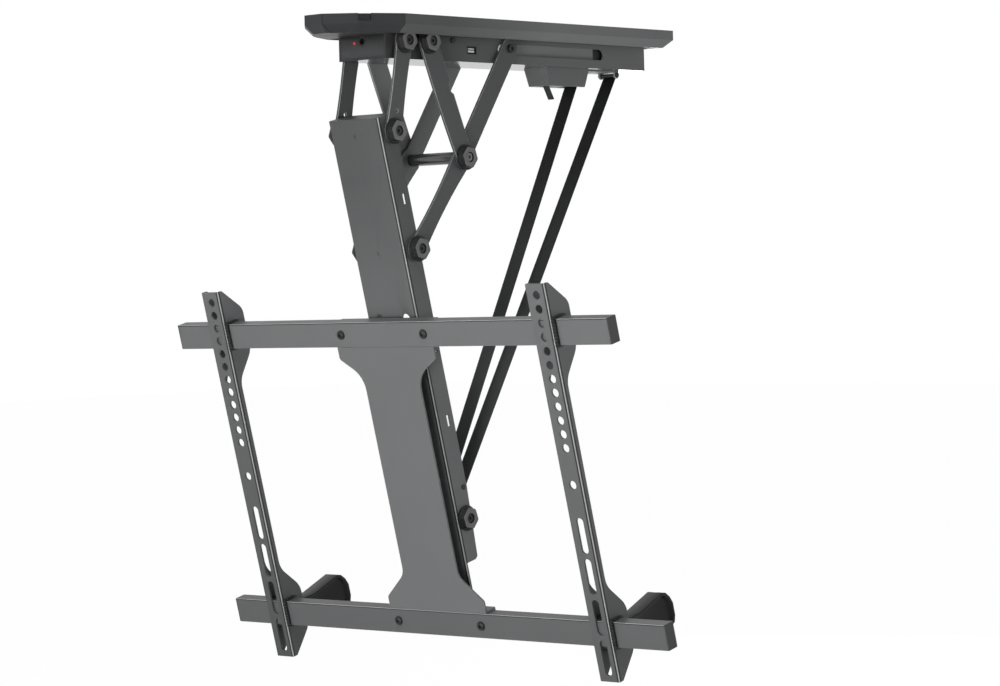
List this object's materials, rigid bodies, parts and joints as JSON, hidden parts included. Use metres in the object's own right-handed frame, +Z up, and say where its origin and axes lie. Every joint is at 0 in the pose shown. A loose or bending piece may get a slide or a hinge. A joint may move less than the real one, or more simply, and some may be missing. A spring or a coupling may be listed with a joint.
{
  "type": "motorized screen ceiling mount",
  "caption": "Fold-down ceiling mount for a flat screen: canopy and housing, belt-driven links, leaning column and a two-bar frame with screen brackets.",
  "frame": {"origin": "on the ceiling face at the canopy's centre", "axes": "+Z up, +Y from the canopy's nose to its rear, +X to the right seen from the screen side"},
  "size_m": [0.641, 0.529, 0.7129],
  "materials": {
    "powder_grey": "satin",
    "black_plastic": "satin",
    "black_steel": "satin",
    "zinc_steel": "satin",
    "belt": "matte",
    "white_nylon": "satin",
    "board_green": "satin",
    "led_red": "gloss",
    "motor_grey": "satin"
  },
  "bodies": {
    "ceiling_unit": {"ceiling_plate": "zinc_steel", "nose_cover": "black_plastic", "front_cover": "powder_grey", "rear_cover": "powder_grey", "cable_plugs": "black_steel", "housing_channel": "powder_grey", "front_panel": "black_plastic", "rear_panel": "black_plastic", "dc_jack": "black_steel", "power_led": "led_red", "usb_port": "zinc_steel", "control_board": "board_green", "housing_screws": "black_steel", "guide_rails": "motor_grey", "gear_motor": "motor_grey", "bearing_bracket": "zinc_steel", "switch_shroud": "powder_grey", "belt_guide": "zinc_steel", "limit_switch": "black_steel", "belt_anchor": "powder_grey", "anchor_pin": "black_steel", "fixed_pivot_bolts": "black_steel", "fixed_pivot_caps": "black_plastic", "pivot_washers": "black_plastic"},
    "middle_links": {"middle_link_left": "powder_grey", "middle_link_right": "powder_grey", "cross_rod": "motor_grey", "cross_rod_caps": "black_plastic"},
    "long_links": {"long_link_left": "powder_grey", "long_link_right": "powder_grey", "guide_screws": "black_steel"},
    "front_links": {"front_links": "powder_grey", "front_link_bolts": "black_steel", "front_link_caps": "black_plastic"},
    "guide_blocks": {"guide_blocks": "white_nylon"},
    "column": {"column_channel": "powder_grey", "column_bolts": "black_steel", "column_caps": "black_plastic", "roller_axle": "black_steel", "roller_axle_caps": "black_plastic", "column_screws": "black_steel", "cover_plate": "powder_grey", "upper_bar": "powder_grey", "lower_bar": "powder_grey", "bar_end_caps": "black_plastic", "bar_screws": "black_steel", "belt_wrap": "belt"},
    "roller": {"belt_roller": "motor_grey"},
    "left_screen_bracket": {"left_bracket": "powder_grey", "left_hook_inserts": "black_steel", "left_foot": "black_plastic"},
    "right_screen_bracket": {"right_bracket": "powder_grey", "right_hook_inserts": "black_steel", "right_foot": "black_plastic"},
    "drum": {"drum_shaft": "zinc_steel", "belt_drum": "motor_grey", "belt_winding": "belt"},
    "lever": {"limit_lever": "black_steel"},
    "front_belt": {"belt_front_run": "belt"},
    "rear_belt": {"belt_rear_run": "belt"}
  },
  "joints": [
    {"name": "fold", "type": "hinge", "parent": "ceiling_unit", "child": "middle_links", "pos_m": [0, -0.1324, -0.026], "axis": [1, 0, 0], "range_deg": [0, 53.34]},
    {"name": "long_fold", "type": "hinge", "parent": "middle_links", "child": "long_links", "pos_m": [0, -0.0786, -0.1511], "axis": [1, 0, 0], "range_deg": [-98.2, 0]},
    {"name": "column_fold", "type": "hinge", "parent": "long_links", "child": "column", "pos_m": [0, -0.1546, -0.2502], "axis": [1, 0, 0], "range_deg": [0, 120.9]},
    {"name": "front_fold", "type": "hinge", "parent": "ceiling_unit", "child": "front_links", "pos_m": [0, -0.166, -0.026], "axis": [1, 0, 0], "range_deg": [-49.6, 0]},
    {"name": "block_slide", "type": "slide", "parent": "ceiling_unit", "child": "guide_blocks", "axis": [0, 1, 0], "range_m": [0, 0.1408]},
    {"name": "front_belt_swing", "type": "hinge", "parent": "ceiling_unit", "child": "front_belt", "pos_m": [0, 0.1539, -0.0557], "axis": [1, 0, 0], "range_deg": [0, 32.1], "deforming": ["belt_front_run"]},
    {"name": "rear_belt_swing", "type": "hinge", "parent": "ceiling_unit", "child": "rear_belt", "pos_m": [0, 0.222, -0.05], "axis": [1, 0, 0], "range_deg": [0, 16.1], "deforming": ["belt_rear_run"]},
    {"name": "roller_spin", "type": "hinge", "parent": "column", "child": "roller", "pos_m": [0, -0.08511, -0.54546], "axis": [1, 0, 0], "continuous": true},
    {"name": "drum_spin", "type": "hinge", "parent": "ceiling_unit", "child": "drum", "pos_m": [0, 0.1725, -0.0199], "axis": [1, 0, 0], "continuous": true},
    {"name": "lever_tilt", "type": "hinge", "parent": "ceiling_unit", "child": "lever", "pos_m": [0, 0.108, -0.0625], "axis": [1, 0, 0], "range_deg": [0, 20], "stiffness_Nm_per_rad": 0.05},
    {"name": "left_bracket_slide", "type": "slide", "parent": "column", "child": "left_screen_bracket", "axis": [1, 0, 0], "range_m": [-0.045, 0.15]},
    {"name": "right_bracket_slide", "type": "slide", "parent": "column", "child": "right_screen_bracket", "axis": [1, 0, 0], "range_m": [-0.132, 0.064]}
  ],
  "couplings": [
    {"joint": "long_fold", "follows": "fold", "ratio": -1.8392},
    {"joint": "column_fold", "follows": "fold", "ratio": 2.264},
    {"joint": "front_fold", "follows": "fold", "ratio": -0.9288},
    {"joint": "block_slide", "follows": "fold", "m_per_rad": 0.15111},
    {"joint": "front_belt_swing", "follows": "fold", "ratio": 0.6},
    {"joint": "rear_belt_swing", "follows": "fold", "ratio": 0.3}
  ]
}
